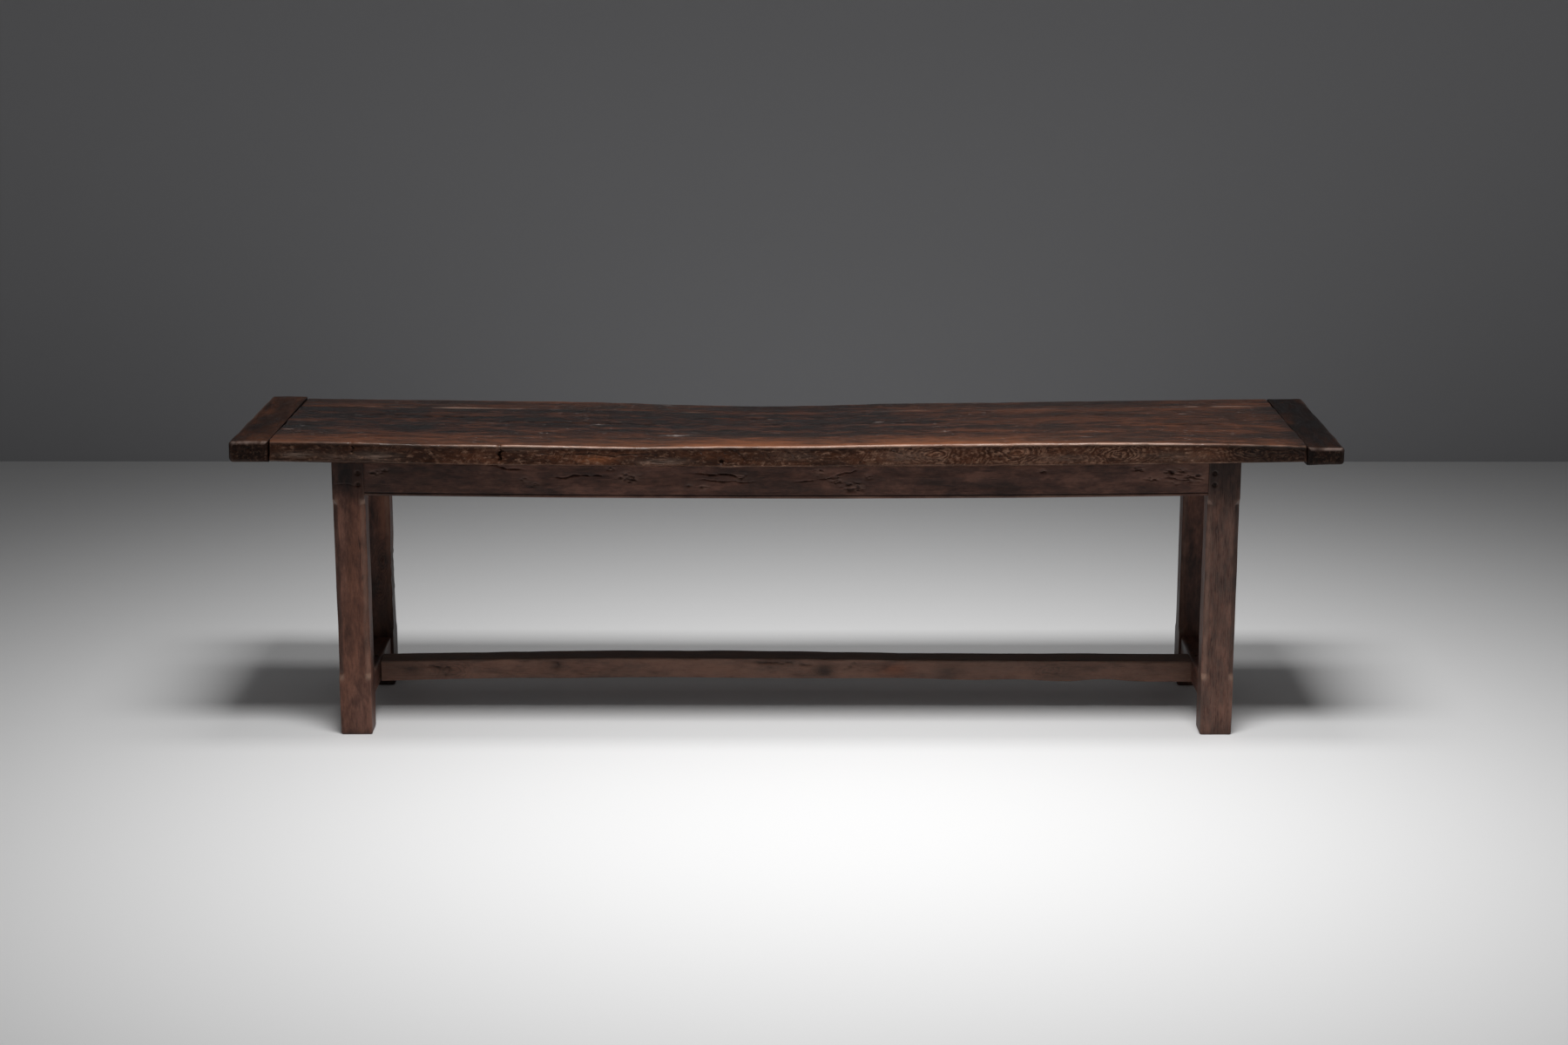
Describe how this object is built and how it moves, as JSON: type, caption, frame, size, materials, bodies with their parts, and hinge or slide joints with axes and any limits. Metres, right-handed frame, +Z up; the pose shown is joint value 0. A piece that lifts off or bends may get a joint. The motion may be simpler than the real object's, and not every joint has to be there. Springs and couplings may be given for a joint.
{
  "type": "refectory table",
  "caption": "Long narrow wooden refectory table with a cleated plank top that sags a little, square legs with stopped chamfers, pegged rails and a low H stretcher.",
  "frame": {"origin": "on the floor, under the middle of the table top's outline", "axes": "+X along the table to the right, +Y from the front edge to the back edge, +Z up"},
  "size_m": [2.704, 0.61, 0.756],
  "materials": {
    "plank_wood": "worn wax polish",
    "cleat_wood": "worn wax polish",
    "frame_wood": "dull wax",
    "peg_wood": "dull wax"
  },
  "bodies": {
    "root": {"top_plank_front": "plank_wood", "top_plank_back": "plank_wood", "cleat_left": "cleat_wood", "cleat_right": "cleat_wood", "leg_front_left": "frame_wood", "leg_front_right": "frame_wood", "leg_back_left": "frame_wood", "leg_back_right": "frame_wood", "apron_front": "frame_wood", "apron_back": "frame_wood", "end_rail_left": "frame_wood", "end_rail_right": "frame_wood", "end_stretcher_left": "frame_wood", "end_stretcher_right": "frame_wood", "long_stretcher": "frame_wood", "apron_pegs": "peg_wood", "end_rail_pegs": "peg_wood", "end_stretcher_pegs": "peg_wood", "long_stretcher_pegs": "peg_wood", "cleat_pegs": "peg_wood", "top_pegs": "peg_wood", "plank_tongues": "peg_wood"}
  },
  "joints": []
}
